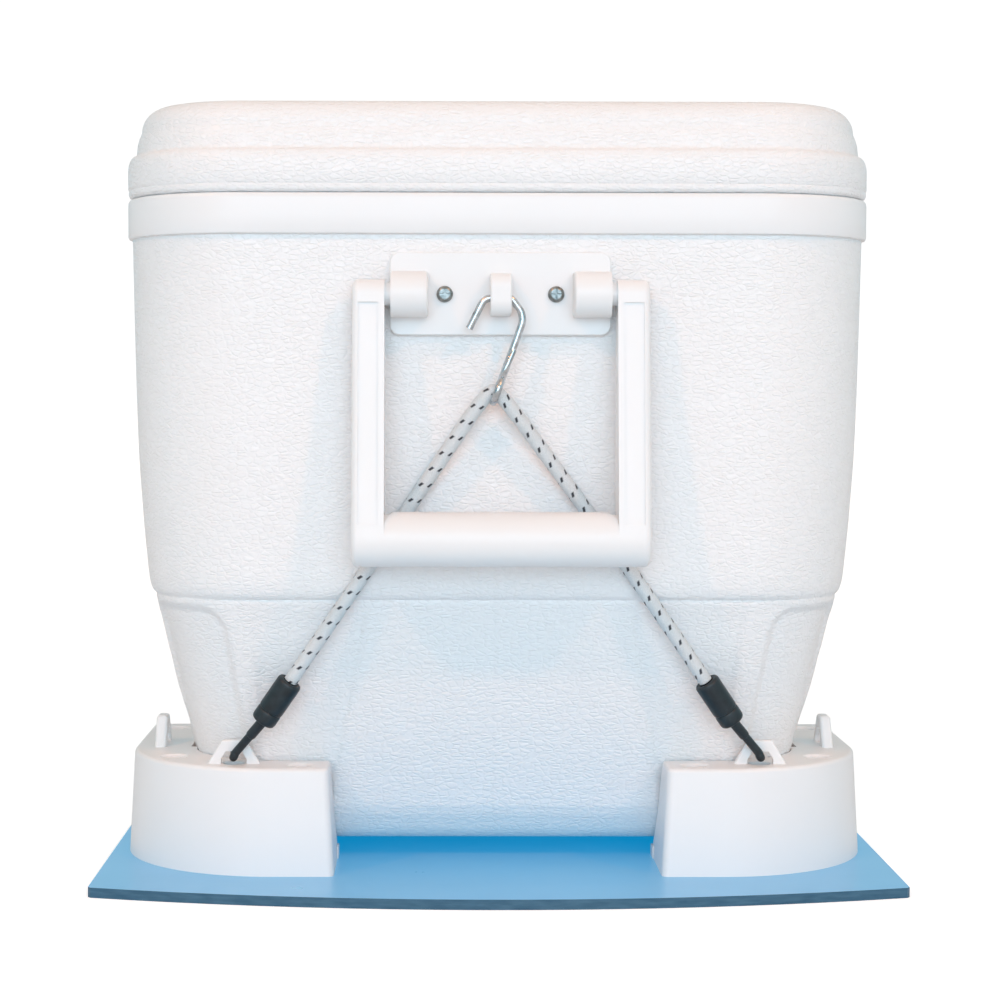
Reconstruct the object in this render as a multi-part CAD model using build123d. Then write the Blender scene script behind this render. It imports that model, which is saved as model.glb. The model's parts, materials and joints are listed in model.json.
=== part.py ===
from build123d import *
import math
import os

# A hard-sided ice chest strapped down on a base plate by four corner chocks and two shock cords.
# Millimetres. +Z is up, +Y runs along the chest's length, and the front end faces -Y.
# The origin is the centre of the base plate's underside.

os.makedirs("parts", exist_ok=True)

# ---------------------------------------------------------------- driving dimensions
CHEST_LENGTH = 650.0        # over the rim collar, along Y
CHEST_WIDTH = 375.0         # over the rim collar, along X
PLATE_THICKNESS = 5.0       # the base plate, whose top face is the datum for every height below
PLATE_WIDTH = 400.0
PLATE_MARGIN = 9.0          # the plate's overhang past the rim at each end's corners
PLATE_BOW = 27.0            # how much further each end bows out at its middle
WALL = 3.0                  # moulded plastic wall
DRAFT = math.radians(3.1)   # of the corner chocks' outer faces

HALF_L = CHEST_LENGTH / 2
HALF_W = CHEST_WIDTH / 2
RIM_CORNER = 62.0           # plan corner radius of the collar and of the lid band

# Heights above the plate's top face
TUB_BOTTOM = 9.2
CREASE = 26.5               # where the lower wall turns under
STEP = 137.6                # where the wide upper body overhangs the lower body
COLLAR_BASE = 317.0
COLLAR_TOP = 337.0
LID_BASE = 337.8
BAND_TOP = 358.3
LID_TOP = 383.0
CAVITY_FLOOR = 42.0
CHOCK_TOP = 53.5


def at(height):
    """A point's Z from its height above the plate's top face."""
    return PLATE_THICKNESS + height


# ---------------------------------------------------------------- shared helpers
def slab(half_x, half_y, radius, height):
    """A rounded rectangle lying flat at a height above the plate."""
    return Plane.XY.offset(at(height)) * RectangleRounded(2 * half_x, 2 * half_y, radius)


def frustum(half_x, half_y, height):
    """A plain rectangle lying flat at a height above the plate."""
    return Plane.XY.offset(at(height)) * Rectangle(2 * half_x, 2 * half_y)


def block(x_range, y_range, z_range):
    """A box between two heights above the plate."""
    size = [high - low for low, high in (x_range, y_range, z_range)]
    middle = [(low + high) / 2 for low, high in (x_range, y_range, z_range)]
    return Pos(middle[0], middle[1], at(middle[2])) * Box(*size)


def rod(start, end, radius):
    """A round bar between two points given as (x, y, height)."""
    tail = Vector(start[0], start[1], at(start[2]))
    tip = Vector(end[0], end[1], at(end[2]))
    run = tip - tail
    return extrude(Plane(tail, z_dir=run) * Circle(radius), amount=run.length)


def turned(part):
    """The same piece at the rear end: half a turn about Z."""
    return part.rotate(Axis.Z, 180)


def save(name, part):
    """Write one node, as a single solid where it is one."""
    solids = part.solids()
    shape = solids[0] if len(solids) == 1 else Compound(children=list(solids))
    shape.label = name
    export_step(shape, os.path.join("parts", name + ".step"))


# ---------------------------------------------------------------- tub walls
# Each station is (height, half width, half length, corner radius) of the outside.
UNDERSIDE = (TUB_BOTTOM, 144.0, 258.0, 34.0)
LOWER_FOOT = (CREASE, 153.6, 270.5, 41.0)
LOWER_HEAD = (STEP, 175.3, 307.5, 52.0)
UPPER = [(STEP, 176.0, 308.5, 54.0),
         (140.5, 177.2, 310.2, 55.0),
         (145.0, 178.3, 311.8, 56.0),
         (155.0, 179.3, 313.6, 57.0),
         (176.0, 181.0, 316.0, 58.0),
         (216.0, 183.4, 318.6, 59.5),
         (257.0, 184.4, 320.2, 60.0),
         (COLLAR_BASE, 185.4, 322.0, 60.0)]
PILLAR_SET_BACK = 3.5       # the lower body's corner pillars stand behind its four panels
END_PANEL = (121.0, 138.0)  # half width of an end panel at the crease and at the step
SIDE_PANEL = (224.0, 261.0)  # half length of a side panel at the crease and at the step
PANEL_BAND = 4.0            # height of the full-width band under the step


def station(values, inset):
    height, half_x, half_y, radius = values
    return slab(half_x - inset, half_y - inset, radius - inset, height)


def between(height):
    """Half width, half length and corner radius of the lower body at a height."""
    share = (height - CREASE) / (STEP - CREASE)
    return [low + share * (high - low) for low, high in zip(LOWER_FOOT[1:], LOWER_HEAD[1:])]


def tub_solid(inset):
    """The tub's outside as a full solid, pulled in by a wall thickness."""
    back = PILLAR_SET_BACK + inset
    floor = (TUB_BOTTOM + inset,) + UNDERSIDE[1:]
    under = loft([station(floor, inset), station(LOWER_FOOT, inset)], ruled=True)
    pillars = loft([station(LOWER_FOOT, back), station(LOWER_HEAD, back)], ruled=True)
    ends = loft([frustum(END_PANEL[0] - inset, LOWER_FOOT[2] - inset, CREASE),
                 frustum(END_PANEL[1] - inset, LOWER_HEAD[2] - inset, STEP)], ruled=True)
    sides = loft([frustum(LOWER_FOOT[1] - inset, SIDE_PANEL[0] - inset, CREASE),
                  frustum(LOWER_HEAD[1] - inset, SIDE_PANEL[1] - inset, STEP)], ruled=True)
    foot = between(STEP - PANEL_BAND)
    band = loft([slab(foot[0] - inset, foot[1] - inset, foot[2] - inset, STEP - PANEL_BAND),
                 station(LOWER_HEAD, inset)], ruled=True)
    upper = loft([station(values, inset) for values in UPPER], ruled=True)
    return under + pillars + ends + sides + band + upper


# Skids moulded under the tub, hidden behind the chocks
SKID_X = 104.0
SKID_WIDTH = 22.0
SKID_HALF_LENGTH = 190.0

# The cavity, as (height, half width, half length, corner radius)
CAVITY_FOOT = (CAVITY_FLOOR, 134.0, 250.0, 38.0)
CAVITY_MOUTH = (COLLAR_TOP, 155.0, 292.0, 44.0)


def cavity_solid(grow):
    """The cavity grown outwards by a wall thickness."""
    foot = (CAVITY_FLOOR - grow,) + CAVITY_FOOT[1:]
    return loft([station(foot, -grow), station(CAVITY_MOUTH, -grow)], ruled=True)


# ---------------------------------------------------------------- drain, on the rear end
DRAIN_HEIGHT = 62.0
DRAIN_SEAT = 272.0          # Y of the flat seat sunk into the rear end's sloping wall
DRAIN_POCKET = 25.0         # radius of the sunk seat
SPOUT_R = 12.0
DRAIN_BORE = 8.0
NUT_R = 19.0
CAVITY_END = CAVITY_FOOT[2] + (DRAIN_HEIGHT - CAVITY_FLOOR) * (
    CAVITY_MOUTH[2] - CAVITY_FOOT[2]) / (COLLAR_TOP - CAVITY_FLOOR)
NUT_BACK = CAVITY_END - 6.0


def along_y(radius, start, stop, x=0.0, height=DRAIN_HEIGHT):
    """A round bar lying along Y."""
    return rod((x, start, height), (x, stop, height), radius)


def drain_hole(radius):
    return along_y(radius, 200, 330)


# ---------------------------------------------------------------- tub nodes
outer = tub_solid(0)
hollow = tub_solid(WALL)
pocket = along_y(DRAIN_POCKET, DRAIN_SEAT, 330)
pocket_cup = along_y(DRAIN_POCKET + WALL, DRAIN_SEAT - WALL, 330) & outer
skids = Part()
for side in (-1, 1):
    centre = side * SKID_X
    skids += block((centre - SKID_WIDTH / 2, centre + SKID_WIDTH / 2),
                   (-SKID_HALF_LENGTH, SKID_HALF_LENGTH), (0, TUB_BOTTOM + WALL / 2))

outer_shell = outer - hollow + pocket_cup - pocket - drain_hole(SPOUT_R) + skids
foam = hollow - cavity_solid(WALL) - pocket_cup - drain_hole(SPOUT_R)
liner_body = cavity_solid(WALL) - cavity_solid(0)
liner_seat = along_y(NUT_R + 3, CAVITY_END - 4, CAVITY_END + WALL) & cavity_solid(WALL)
inner_liner = (liner_body + liner_seat) - drain_hole(SPOUT_R)
foam = foam - liner_seat

collar_ring = extrude(slab(HALF_W, HALF_L, RIM_CORNER, COLLAR_BASE), amount=COLLAR_TOP - COLLAR_BASE)
collar_ring = fillet(collar_ring.edges().group_by(Axis.Z)[-1], 1.6)
collar_ring = fillet(collar_ring.edges().group_by(Axis.Z)[0], 1.2)
rim_collar = collar_ring - cavity_solid(WALL)

# ---------------------------------------------------------------- lid
DOME_INSET = 5.0
DOME_DRAFT = 3.6
DOME_EDGE = 12.5
LID_LIP = 1.6
PLUG_GAP = 3.0              # between the lid's plug and the cavity mouth
PLUG_DEPTH = 8.0
PAN_BASE = LID_BASE + 0.5


def lid_solid(inset):
    """The lid's outside as a full solid, pulled in by a wall thickness."""
    band = extrude(slab(HALF_W - inset, HALF_L - inset, RIM_CORNER - inset, LID_BASE),
                   amount=BAND_TOP - inset - LID_BASE)
    dome_x = HALF_W - DOME_INSET - inset
    dome_y = HALF_L - DOME_INSET - inset
    dome_r = RIM_CORNER - DOME_INSET - inset
    dome = loft([slab(dome_x, dome_y, dome_r, BAND_TOP - inset - 2),
                 slab(dome_x - DOME_DRAFT, dome_y - DOME_DRAFT, dome_r - DOME_DRAFT, LID_TOP - inset)],
                ruled=True)
    dome = fillet(dome.edges().group_by(Axis.Z)[-1], DOME_EDGE - inset)
    if inset == 0:
        band = fillet(band.edges().group_by(Axis.Z)[-1], 2.5)
        band = chamfer(band.edges().group_by(Axis.Z)[0], LID_LIP)
    return band + dome


plug_x = CAVITY_MOUTH[1] - PLUG_GAP
plug_y = CAVITY_MOUTH[2] - PLUG_GAP
plug_r = CAVITY_MOUTH[3] - PLUG_GAP
lid_hollow = lid_solid(WALL)
lid_shell = lid_solid(0) - lid_hollow
pan = extrude(slab(HALF_W - WALL, HALF_L - WALL, RIM_CORNER - WALL, PAN_BASE), amount=WALL)
plug = extrude(slab(plug_x, plug_y, plug_r, COLLAR_TOP - PLUG_DEPTH),
               amount=PAN_BASE + WALL - COLLAR_TOP + PLUG_DEPTH)
plug = fillet(plug.edges().group_by(Axis.Z)[0], 2.0)
plug_core = extrude(slab(plug_x - WALL, plug_y - WALL, plug_r - WALL, COLLAR_TOP - PLUG_DEPTH + WALL),
                    amount=PAN_BASE - COLLAR_TOP + PLUG_DEPTH)
lid_liner = pan + plug - plug_core
lid_foam = (lid_hollow - block((-HALF_W, HALF_W), (-HALF_L, HALF_L), (LID_BASE - 5, PAN_BASE + WALL))
            + plug_core)

# ---------------------------------------------------------------- lid hinges, on the +X side
HINGE_Y = (-180.0, 180.0)
HINGE_AXIS_X = HALF_W + 3.8
HINGE_AXIS_H = (COLLAR_TOP + LID_BASE) / 2
BARREL_R = 3.5
HINGE_PIN_R = 1.5
RUNNING_GAP = 0.05
HINGE_HALF = 24.0           # half the hinge's length along Y
MIDDLE_HALF = 11.0          # half of the lid leaf's middle knuckle
KNUCKLE_GAP = 0.4
LEAF_T = 2.4
LEAF_DEPTH = 16.0
HINGE_SCREW_R = 1.8
HINGE_SCREW_Y = 15.0


def barrel(centre, start, stop, radius):
    return rod((HINGE_AXIS_X, centre + start, HINGE_AXIS_H), (HINGE_AXIS_X, centre + stop, HINGE_AXIS_H),
               radius)


def leaf(centre, up, spans):
    """One hinge leaf: its plate against the wall and its knuckles on the barrel line."""
    sign = 1 if up else -1
    clear = BARREL_R + 0.4
    low, high = sorted((HINGE_AXIS_H + sign * clear, HINGE_AXIS_H + sign * LEAF_DEPTH))
    plate = block((HALF_W, HALF_W + LEAF_T), (centre - HINGE_HALF, centre + HINGE_HALF), (low, high))
    body = fillet(plate.edges().filter_by(Axis.X), 2.0)
    for start, stop in spans:
        low, high = sorted((HINGE_AXIS_H, HINGE_AXIS_H + sign * (clear + 1)))
        body += block((HALF_W + 0.3, HALF_W + LEAF_T), (centre + start, centre + stop), (low, high))
        body += barrel(centre, start, stop, BARREL_R)
    for shift in (-HINGE_SCREW_Y, HINGE_SCREW_Y):
        body -= hinge_screw_shank(centre + shift, up)
    return body


def hinge_screw_height(up):
    return HINGE_AXIS_H + (1 if up else -1) * (BARREL_R + LEAF_DEPTH) / 2


def hinge_screw_shank(y, up):
    height = hinge_screw_height(up)
    return rod((HALF_W - 8, y, height), (HALF_W + LEAF_T, y, height), HINGE_SCREW_R)


def hinge_screw(y, up):
    """A pan-head screw lying along X, its head outside."""
    height = hinge_screw_height(up)
    head = rod((HALF_W + LEAF_T, y, height), (HALF_W + LEAF_T + 1.9, y, height), 3.4)
    head = fillet(head.edges().group_by(Axis.X)[-1], 1.2)
    slot = block((HALF_W + LEAF_T + 0.8, HALF_W + LEAF_T + 3), (y - 2.2, y + 2.2),
                 (height - 0.4, height + 0.4))
    cross = slot + slot.rotate(Axis((0, y, at(height)), (1, 0, 0)), 90)
    return hinge_screw_shank(y, up) + head - cross


end_spans = [(-HINGE_HALF, -MIDDLE_HALF - KNUCKLE_GAP), (MIDDLE_HALF + KNUCKLE_GAP, HINGE_HALF)]
rim_screws = Part()
lid_screws = Part()
for index, centre in enumerate(HINGE_Y):
    tag = "front" if index == 0 else "rear"
    pin = barrel(centre, -HINGE_HALF, HINGE_HALF, HINGE_PIN_R)
    save("hinge_pin_" + tag, pin)
    save("hinge_rim_leaf_" + tag, leaf(centre, False, end_spans) - pin)
    bore = barrel(centre, -HINGE_HALF, HINGE_HALF, HINGE_PIN_R + RUNNING_GAP)
    save("hinge_lid_leaf_" + tag, leaf(centre, True, [(-MIDDLE_HALF, MIDDLE_HALF)]) - bore)
    for shift in (-HINGE_SCREW_Y, HINGE_SCREW_Y):
        y = centre + shift
        rim_screws += hinge_screw(y, False)
        lid_screws += hinge_screw(y, True)
        rim_collar -= hinge_screw_shank(y, False)
        lid_shell -= hinge_screw_shank(y, True)
        lid_foam -= hinge_screw_shank(y, True)
save("hinge_rim_screws", rim_screws)
save("hinge_lid_screws", lid_screws)

# ---------------------------------------------------------------- handle bracket on each end
PIVOT_H = 287.5             # height of the handle's pivot axis
PIVOT_Y = -332.0
WALL_Y = -321.0             # the end wall's face behind the bracket
BRACKET_HALF = 53.7
BRACKET_H = (268.0, 308.2)
BRACKET_T = 3.4
KNUCKLE_R = 11.0
KNUCKLE_X = (35.1, 53.0)
STUB_R = 5.5
BORE_DEPTH = 13.5
LUG_HALF = 5.15
LUG_H = (277.1, 297.5)
LUG_EYE_R = 4.2
LUG_EYE_H = 287.4
LUG_NOSE_R = 6.8
BRACKET_SCREW_X = 27.0
BRACKET_SCREW_H = 287.8
BRACKET_SCREW_R = 2.0


def bar_x(x_range, y, height, radius):
    return rod((x_range[0], y, height), (x_range[1], y, height), radius)


def bracket_screw_shank(x):
    return rod((x, WALL_Y - BRACKET_T, BRACKET_SCREW_H), (x, WALL_Y + 9, BRACKET_SCREW_H), BRACKET_SCREW_R)


def bracket():
    """The white moulded plate with two pivot knuckles and a centre lug."""
    face = WALL_Y - BRACKET_T
    plate = block((-BRACKET_HALF, BRACKET_HALF), (face, WALL_Y + 2), BRACKET_H)
    plate = fillet(plate.edges().filter_by(Axis.Y), 5.0)
    plate = fillet(plate.faces().sort_by(Axis.Y)[0].edges(), 0.8)
    body = plate
    for side in (-1, 1):
        span = sorted((side * KNUCKLE_X[0], side * KNUCKLE_X[1]))
        knuckle = bar_x(span, PIVOT_Y, PIVOT_H, KNUCKLE_R)
        knuckle += block(span, (PIVOT_Y, face + 0.5), (PIVOT_H - KNUCKLE_R, PIVOT_H + KNUCKLE_R))
        knuckle = fillet(knuckle.faces().sort_by(Axis.X)[0 if side > 0 else -1].edges(), 1.4)
        body += knuckle
        bore = sorted((side * (KNUCKLE_X[1] + 2), side * (KNUCKLE_X[1] - BORE_DEPTH)))
        body -= bar_x(bore, PIVOT_Y, PIVOT_H, STUB_R + RUNNING_GAP)
        body -= bracket_screw_shank(side * BRACKET_SCREW_X)
    top = LUG_H[1] - LUG_NOSE_R
    low = LUG_H[0] + LUG_NOSE_R
    nose_y = PIVOT_Y - 1.0
    lug = bar_x((-LUG_HALF, LUG_HALF), nose_y, top, LUG_NOSE_R)
    lug += bar_x((-LUG_HALF, LUG_HALF), nose_y, low, LUG_NOSE_R)
    lug += block((-LUG_HALF, LUG_HALF), (nose_y - LUG_NOSE_R, nose_y), (low, top))
    lug += block((-LUG_HALF, LUG_HALF), (nose_y, face + 0.5), LUG_H)
    lug = fillet(lug.faces().filter_by(Axis.X).edges(), 1.0)
    return body + lug - bar_x((-20, 20), nose_y, LUG_EYE_H, LUG_EYE_R)


def bracket_screw(x):
    """A cross-recess pan-head screw lying along Y."""
    face = WALL_Y - BRACKET_T
    head = rod((x, face, BRACKET_SCREW_H), (x, face - 2.6, BRACKET_SCREW_H), 4.0)
    head = fillet(head.edges().group_by(Axis.Y)[0], 1.8)
    slot = block((x - 2.6, x + 2.6), (face - 3, face - 1.1), (BRACKET_SCREW_H - 0.5, BRACKET_SCREW_H + 0.5))
    cross = slot + slot.rotate(Axis((x, 0, at(BRACKET_SCREW_H)), (0, 1, 0)), 90)
    return bracket_screw_shank(x) + head - cross


front_bracket = bracket() - outer
front_screws = bracket_screw(-BRACKET_SCREW_X) + bracket_screw(BRACKET_SCREW_X)
shanks = bracket_screw_shank(-BRACKET_SCREW_X) + bracket_screw_shank(BRACKET_SCREW_X)
shanks += turned(shanks)
outer_shell -= shanks
foam -= shanks
save("handle_bracket_front", front_bracket)
save("handle_bracket_rear", turned(front_bracket))
save("bracket_screws_front", front_screws)
save("bracket_screws_rear", turned(front_screws))

# ---------------------------------------------------------------- bail handle on each end
ARM_X = (55.9, 71.5)
ARM_TOP_R = 7.0
GRIP_R = 13.2
GRIP_H = 169.8
GRIP_Y = -340.0
SHOULDER = (9.0, 11.7)       # width and height of the rounding at each end of the grip's upper side
SHOULDER_DEPTH = 1.3
ARM_RECESS = 1.2
RECESS_X = (58.9, 68.5)
RECESS_H = (177.5, 283.5)


def arm_plate(x_range, top_r, grip_r):
    """The arm's side profile, a hull round the pivot and the grip, given a thickness along X."""
    plane = Plane(origin=(x_range[0], 0, 0), x_dir=(0, 1, 0), z_dir=(1, 0, 0))
    circles = Sketch() + Pos(PIVOT_Y, at(PIVOT_H)) * Circle(top_r) + Pos(GRIP_Y, at(GRIP_H)) * Circle(grip_r)
    return extrude(plane * make_hull(circles.edges()), amount=x_range[1] - x_range[0])


def barrel_grip():
    """The round grip, its upper side rounded off in a shoulder short of each arm."""
    span, top = ARM_X[0] + 1, GRIP_R + 1
    shoulder = Rectangle(2 * span, 2 * top)
    for side in (-1, 1):
        corner = Pos(side * (ARM_X[0] + 1 - SHOULDER[0] / 2), top - SHOULDER[1] / 2) * Rectangle(*SHOULDER)
        corner -= Pos(side * (ARM_X[0] + 1 - SHOULDER[0]), top - SHOULDER[1]) * Ellipse(*SHOULDER)
        shoulder -= corner
    front = Plane(origin=(0, GRIP_Y, at(GRIP_H)), x_dir=(1, 0, 0), z_dir=(0, -1, 0)) * shoulder
    return bar_x((-span, span), GRIP_Y, GRIP_H, GRIP_R) & extrude(front, amount=top, both=True)


def handle():
    """One moulded bail: two tapered arms, a round grip and the pivot stubs."""
    body = barrel_grip() + bar_x((-ARM_X[0] - 1, ARM_X[0] + 1), GRIP_Y, GRIP_H, GRIP_R - SHOULDER_DEPTH)
    for side in (-1, 1):
        span = sorted((side * ARM_X[0], side * ARM_X[1]))
        arm = arm_plate(span, ARM_TOP_R, GRIP_R)
        outer_face = arm.faces().sort_by(Axis.X)[-1 if side > 0 else 0]
        arm = fillet(outer_face.edges(), 3.0)
        window = sorted((side * RECESS_X[0], side * RECESS_X[1]))
        skin = block(window, (-380, -300), RECESS_H) - arm_plate(window, ARM_TOP_R - ARM_RECESS,
                                                                 GRIP_R - ARM_RECESS)
        body += arm - skin
        stub = sorted((side * (ARM_X[0] + 1), side * (KNUCKLE_X[1] - BORE_DEPTH + 1)))
        body += bar_x(stub, PIVOT_Y, PIVOT_H, STUB_R)
    return body


front_handle = handle()
save("handle_front", front_handle)
save("handle_rear", turned(front_handle))

# ---------------------------------------------------------------- corner chocks
CHOCK_OUT_X = 192.3         # outer faces at the base
CHOCK_OUT_Y = 309.4
CHOCK_IN_X = 81.5           # the front leg's inner end at the base
CHOCK_LEG_Y = 145.0         # the side leg's inner end at the base
CHOCK_CORNER = 80.0
SEAT_GAP = 1.0
CHOCK_SCREWS = [(98.8, 295.0), (165.5, 266.3), (175.0, 166.0)]
COUNTERBORE_R = 6.5
COUNTERBORE_FLOOR = 10.0
CHOCK_SHANK_R = 2.4
CHOCK_END_ROUND = 3.5       # upright corners of the two legs' ends
CAP_H = (49.2, 52.0)        # the push-in caps over the sunk screws, from underside to crown
HEEL_H = 6.2                # a low heel at the front leg's inner end, reaching under the tub's edge
HEEL_Y = (252.0, 264.0)
ARCH_X = 132.6              # the end arch's middle, along the front leg
ARCH_Y = 289.4              # the end arch's plane
SIDE_ARCH_X = 176.0
SIDE_ARCH_Y = 222.0
POCKET_R = 5.5
POCKET_DEPTH = 3.0

# A tie-down eye: thickness, foot, head, rise, window width, window shoulder, window top width, window rise
END_EYE = (3.6, 27.0, 12.0, 12.0, 13.0, 2.4, 8.4, 6.4)
SIDE_EYE = (6.0, 31.0, 11.0, 15.5, 14.0, 4.0, 8.0, 8.5)


def arch(sizes):
    """A tie-down eye standing on the chock's top, its opening along Y, centred on the origin."""
    thickness, foot, head, rise, width, shoulder, top_width, window_rise = sizes
    outline = Polygon((-foot / 2, -1), (foot / 2, -1), (foot / 2 - 0.6, 0.6), (head / 2, rise),
                      (-head / 2, rise), (-foot / 2 + 0.6, 0.6), align=None)
    window = Polygon((-width / 2, -1), (width / 2, -1), (width / 2, shoulder), (top_width / 2, window_rise),
                     (-top_width / 2, window_rise), (-width / 2, shoulder), align=None)
    upright = Plane.XZ * (outline - window)
    eye = extrude(upright, amount=thickness / 2, both=True)
    eye = fillet(eye.edges().filter_by(Axis.Y).sort_by(Axis.Z)[-2:], 2.4)
    eye = fillet(eye.faces().sort_by(Axis.Z)[-1].edges().filter_by(Axis.X), thickness * 0.3)
    return Pos(0, 0, at(CHOCK_TOP)) * eye


def chock_hole(x, y):
    bore = rod((x, y, COUNTERBORE_FLOOR), (x, y, CHOCK_TOP + 20), COUNTERBORE_R)
    bore += Pos(x, y, at(CHOCK_TOP - 0.3)) * Cone(COUNTERBORE_R - 0.1, COUNTERBORE_R + 1.1, 1.2)
    return bore + rod((x, y, -PLATE_THICKNESS), (x, y, COUNTERBORE_FLOOR + 1), CHOCK_SHANK_R)


def chock():
    """The chock of the +X, +Y corner: an L of legs that wraps the tub's lower corner."""
    shrink = CHOCK_TOP * math.tan(DRAFT)
    blank = loft([slab(CHOCK_OUT_X, CHOCK_OUT_Y, CHOCK_CORNER, 0),
                  slab(CHOCK_OUT_X - shrink, CHOCK_OUT_Y - shrink, CHOCK_CORNER - shrink, CHOCK_TOP)],
                 ruled=True)
    reach = 250
    window = loft([Plane.XY.offset(at(-1)) * (Pos(CHOCK_IN_X + reach, CHOCK_LEG_Y + reach)
                                              * Rectangle(2 * reach, 2 * reach)),
                   Plane.XY.offset(at(CHOCK_TOP + 1)) * (Pos(CHOCK_IN_X + shrink + reach,
                                                            CHOCK_LEG_Y + shrink + reach)
                                                        * Rectangle(2 * reach, 2 * reach))], ruled=True)
    body = blank & window
    for near in ((CHOCK_IN_X, CHOCK_OUT_Y), (CHOCK_OUT_X, CHOCK_LEG_Y)):
        upright = [edge for edge in body.edges() if edge.length > CHOCK_TOP * 0.9
                   and math.hypot(edge.center().X - near[0], edge.center().Y - near[1]) < 4]
        body = fillet(upright, CHOCK_END_ROUND)
    body = fillet(body.edges().group_by(Axis.Z)[-1], 2.2)
    seat = tub_solid(-SEAT_GAP)
    seat += extrude(slab(UNDERSIDE[1] + SEAT_GAP, UNDERSIDE[2] + SEAT_GAP, UNDERSIDE[3] + SEAT_GAP, -1),
                    amount=TUB_BOTTOM)
    body -= seat
    heel = block((CHOCK_IN_X - 0.4, CHOCK_IN_X + 14), HEEL_Y, (0, HEEL_H))
    under_edge = heel.edges().filter_by(Axis.X).sort_by(lambda edge: edge.center().Z - edge.center().Y)[-1]
    body += fillet(under_edge, 3.4)
    body += Pos(ARCH_X, ARCH_Y, 0) * arch(END_EYE)
    body += Pos(SIDE_ARCH_X, SIDE_ARCH_Y, 0) * arch(SIDE_EYE).rotate(Axis.Z, 90)
    body -= rod((ARCH_X, ARCH_Y, CHOCK_TOP - POCKET_DEPTH), (ARCH_X, ARCH_Y, CHOCK_TOP + 1), POCKET_R)
    for x, y in CHOCK_SCREWS:
        body -= chock_hole(x, y)
    return body


def chock_screw(x, y):
    """A pan-head screw sunk in the counterbore and driven into the plate."""
    shank = rod((x, y, 0.6 - PLATE_THICKNESS), (x, y, COUNTERBORE_FLOOR), CHOCK_SHANK_R)
    head = rod((x, y, COUNTERBORE_FLOOR), (x, y, COUNTERBORE_FLOOR + 3.2), 4.8)
    head = fillet(head.edges().group_by(Axis.Z)[-1], 1.8)
    slot = block((x - 3, x + 3), (y - 0.6, y + 0.6), (COUNTERBORE_FLOOR + 1.4, COUNTERBORE_FLOOR + 5))
    return shank + head - slot - slot.rotate(Axis((x, y, 0), (0, 0, 1)), 90)


def chock_cap(x, y):
    """A domed push-in cap in a counterbore's mouth."""
    cap = rod((x, y, CAP_H[0]), (x, y, CAP_H[1]), COUNTERBORE_R)
    return fillet(cap.edges().group_by(Axis.Z)[-1], 0.9)


quarter = chock()
quarter_screws = Part()
quarter_caps = Part()
quarter_shanks = Part()
for x, y in CHOCK_SCREWS:
    quarter_screws += chock_screw(x, y)
    quarter_caps += chock_cap(x, y)
    quarter_shanks += rod((x, y, 0.6 - PLATE_THICKNESS), (x, y, 1), CHOCK_SHANK_R)


def corners(part):
    """A corner piece of the +X, +Y corner, placed at all four corners."""
    mirrored = part.mirror(Plane.YZ)
    return {"rear_right": part, "rear_left": mirrored,
            "front_left": turned(part), "front_right": turned(mirrored)}


for name, part in corners(quarter).items():
    save("chock_" + name, part)
all_screws = Part()
all_caps = Part()
plate_x, plate_y = PLATE_WIDTH / 2, HALF_L + PLATE_MARGIN
plate_outline = [Line((plate_x, -plate_y), (plate_x, plate_y)),
                 ThreePointArc((plate_x, plate_y), (0, plate_y + PLATE_BOW), (-plate_x, plate_y)),
                 Line((-plate_x, plate_y), (-plate_x, -plate_y)),
                 ThreePointArc((-plate_x, -plate_y), (0, -plate_y - PLATE_BOW), (plate_x, -plate_y))]
base_plate = extrude(Plane.XY * make_face(plate_outline), amount=PLATE_THICKNESS)
base_plate = chamfer(base_plate.edges().filter_by(Axis.Z), 1.5)
for part in corners(quarter_screws).values():
    all_screws += part
for part in corners(quarter_caps).values():
    all_caps += part
for part in corners(quarter_shanks).values():
    base_plate -= part
save("chock_screws", all_screws)
save("chock_caps", all_caps)
save("base_plate", base_plate)

# ---------------------------------------------------------------- S-hook on each bracket lug
HOOK_WIRE = 1.8             # radius of the bright wire
HOOK_Y = PIVOT_Y - 1.0
CORD_TOP = (-3.6, HOOK_Y, 241.0)    # the middle of the cord where it rides in the lower eye
CORD_R = 3.5
EYE_R = 6.2                 # radius of the lower eye, to the wire's middle
EYE_LEAN = math.radians(20) # the eye leans in line with the stem


def point(x, y, height):
    return Vector(x, y, at(height))


def s_hook():
    """An open hook across the lug's eye, then a closed eye turned a quarter turn to it."""
    eye_bottom = CORD_TOP[2] - CORD_R - HOOK_WIRE - 0.15
    lean_x, lean_h = EYE_R * math.sin(EYE_LEAN), EYE_R * math.cos(EYE_LEAN)
    bow_h = LUG_EYE_H - LUG_EYE_R + HOOK_WIRE + 1.0
    path = FilletPolyline(point(-15.3, HOOK_Y, 270.9), point(-8.2, HOOK_Y, bow_h - 1.0),
                          point(-3.0, HOOK_Y, bow_h), point(4.8, HOOK_Y, bow_h),
                          point(11.4, HOOK_Y, 277.0), point(7.4, HOOK_Y, 265.5),
                          point(CORD_TOP[0] + 2 * lean_x, HOOK_Y, eye_bottom + 2 * lean_h),
                          radius=[5.0, 5.0, 5.5, 9.0, 40.0])
    wire = sweep(Plane(path @ 0, z_dir=path % 0) * Circle(HOOK_WIRE), path=path)
    ring = Plane(origin=(CORD_TOP[0] + lean_x, HOOK_Y, at(eye_bottom + lean_h)),
                 z_dir=(math.cos(EYE_LEAN), 0, -math.sin(EYE_LEAN))) * Torus(EYE_R, HOOK_WIRE)
    return wire + ring


hook = s_hook()
save("s_hook_front", hook)
save("s_hook_rear", turned(hook))

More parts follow.
